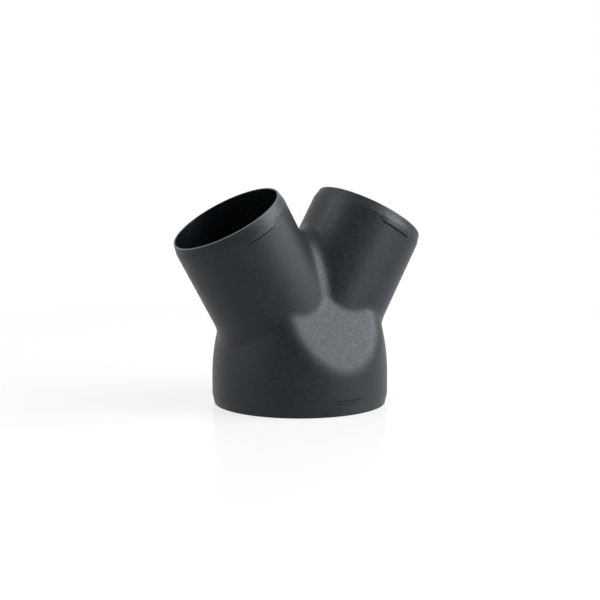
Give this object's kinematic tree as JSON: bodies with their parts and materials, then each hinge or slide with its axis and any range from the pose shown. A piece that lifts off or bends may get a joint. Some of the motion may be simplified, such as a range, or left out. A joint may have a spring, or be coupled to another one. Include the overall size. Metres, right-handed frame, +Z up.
{
  "type": "duct Y branch",
  "caption": "Moulded plastic duct branch that splits a large round hose stub into a pair of smaller round stubs leaning apart, open all the way through.",
  "frame": {"origin": "centre of the large stub's rim, on the plane the part stands on", "axes": "+Z up along the large stub, +X towards one small stub, Y across the plane that holds the three axes"},
  "size_m": [0.1354, 0.0916, 0.11],
  "materials": {
    "body_plastic": "dark charcoal moulded plastic, fine even texture, satin to matte"
  },
  "bodies": {
    "root": {"y_branch": "body_plastic"}
  },
  "joints": []
}
